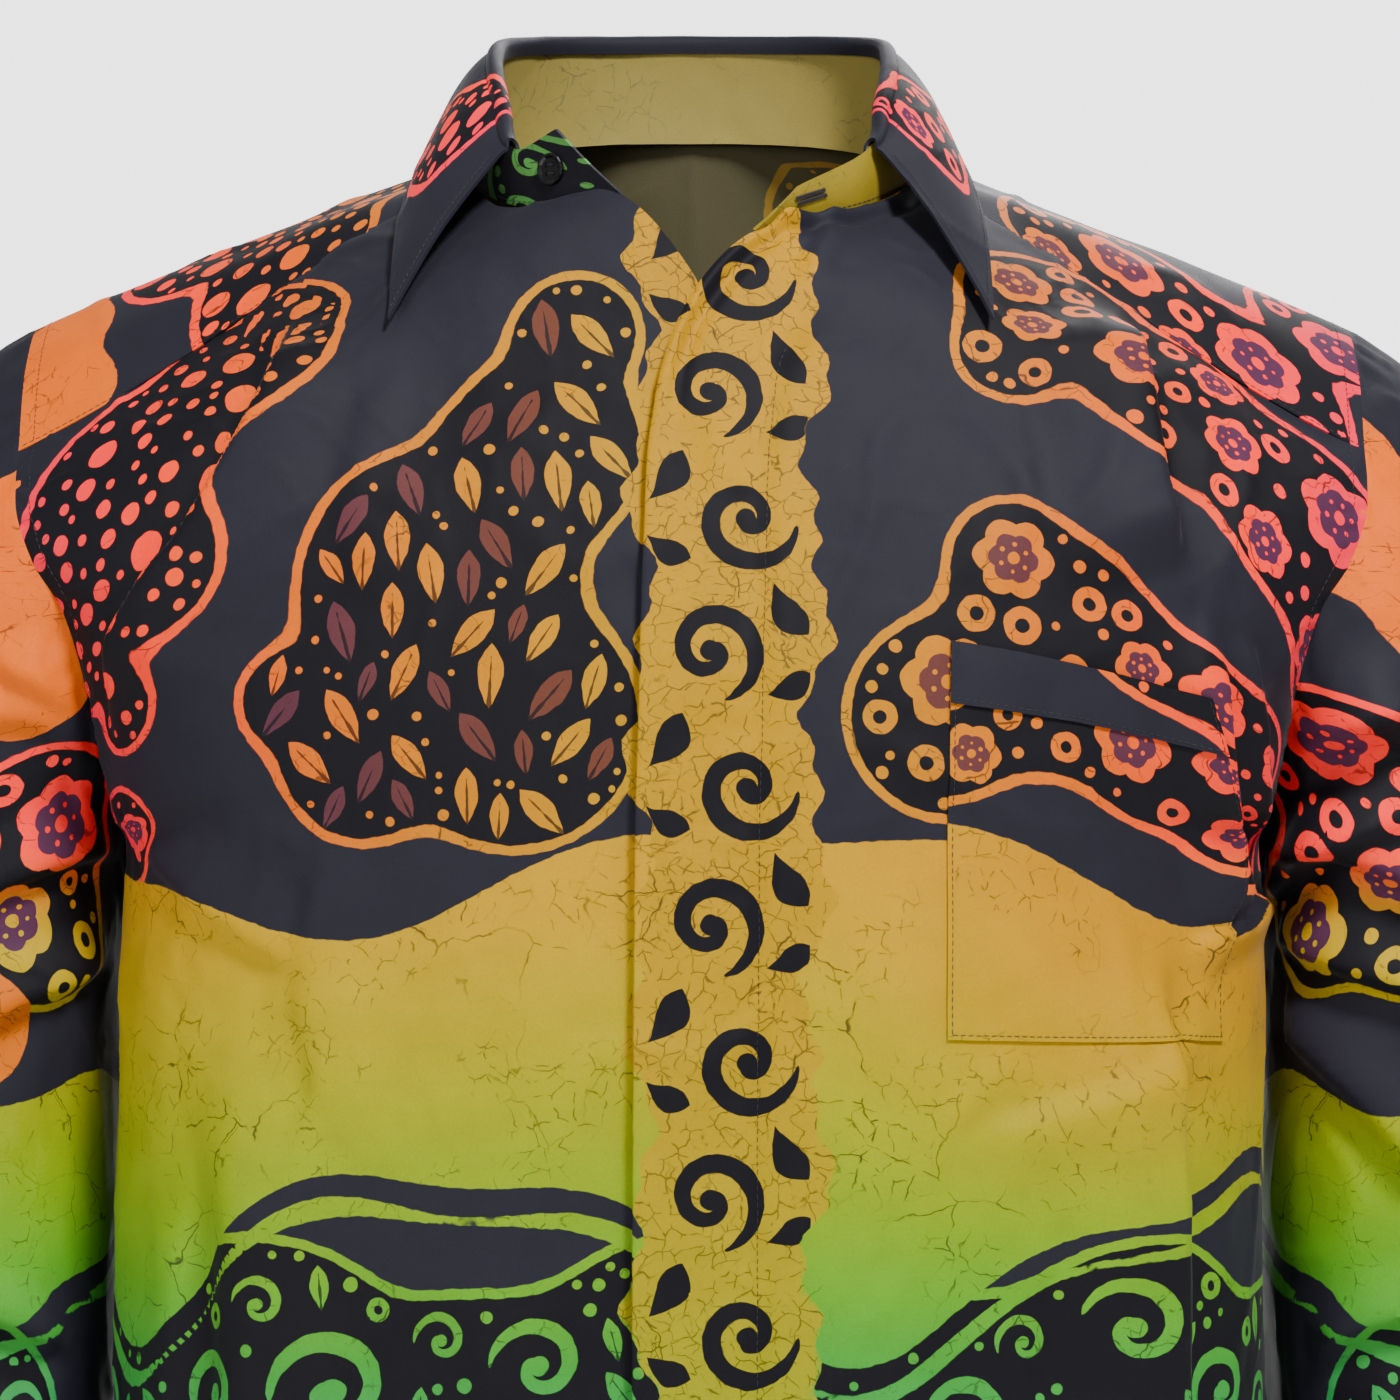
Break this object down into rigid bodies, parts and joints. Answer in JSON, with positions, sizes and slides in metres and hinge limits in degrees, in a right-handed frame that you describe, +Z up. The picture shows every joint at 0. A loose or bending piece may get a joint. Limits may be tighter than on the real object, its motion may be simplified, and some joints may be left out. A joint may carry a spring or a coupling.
{
  "type": "batik shirt",
  "caption": "Long-sleeved button-front shirt in patterned batik cotton with turn-down collar, yoke, breast pocket and buttoned cuffs, hollow and filled out as when worn",
  "frame": {"origin": "middle of the neck, level with the points where collar and shoulder meet", "axes": "+Z up, the front faces -Y, the wearer's left is +X"},
  "size_m": [0.683, 0.2889, 0.8047],
  "materials": {
    "batik_cotton": "fine plain-weave cotton with a wax-resist print: dark indigo ground, motifs drawn in yellow, orange, pink and green lines, one broad orange to green band across the belly",
    "dark_plastic": "glossy near-black four-hole buttons"
  },
  "bodies": {
    "root": {"front_left": "batik_cotton", "front_right": "batik_cotton", "fly_placket": "batik_cotton", "pocket": "batik_cotton", "pocket_band": "batik_cotton", "back": "batik_cotton", "yoke": "batik_cotton", "collar_stand": "batik_cotton", "collar_fall": "batik_cotton", "sleeve_left": "batik_cotton", "sleeve_right": "batik_cotton", "cuff_left": "batik_cotton", "cuff_right": "batik_cotton", "button_collar": "dark_plastic", "button_front_1": "dark_plastic", "button_front_2": "dark_plastic", "button_front_3": "dark_plastic", "button_front_4": "dark_plastic", "button_front_5": "dark_plastic", "button_front_6": "dark_plastic", "button_cuff_left": "dark_plastic", "button_cuff_right": "dark_plastic"}
  },
  "joints": []
}
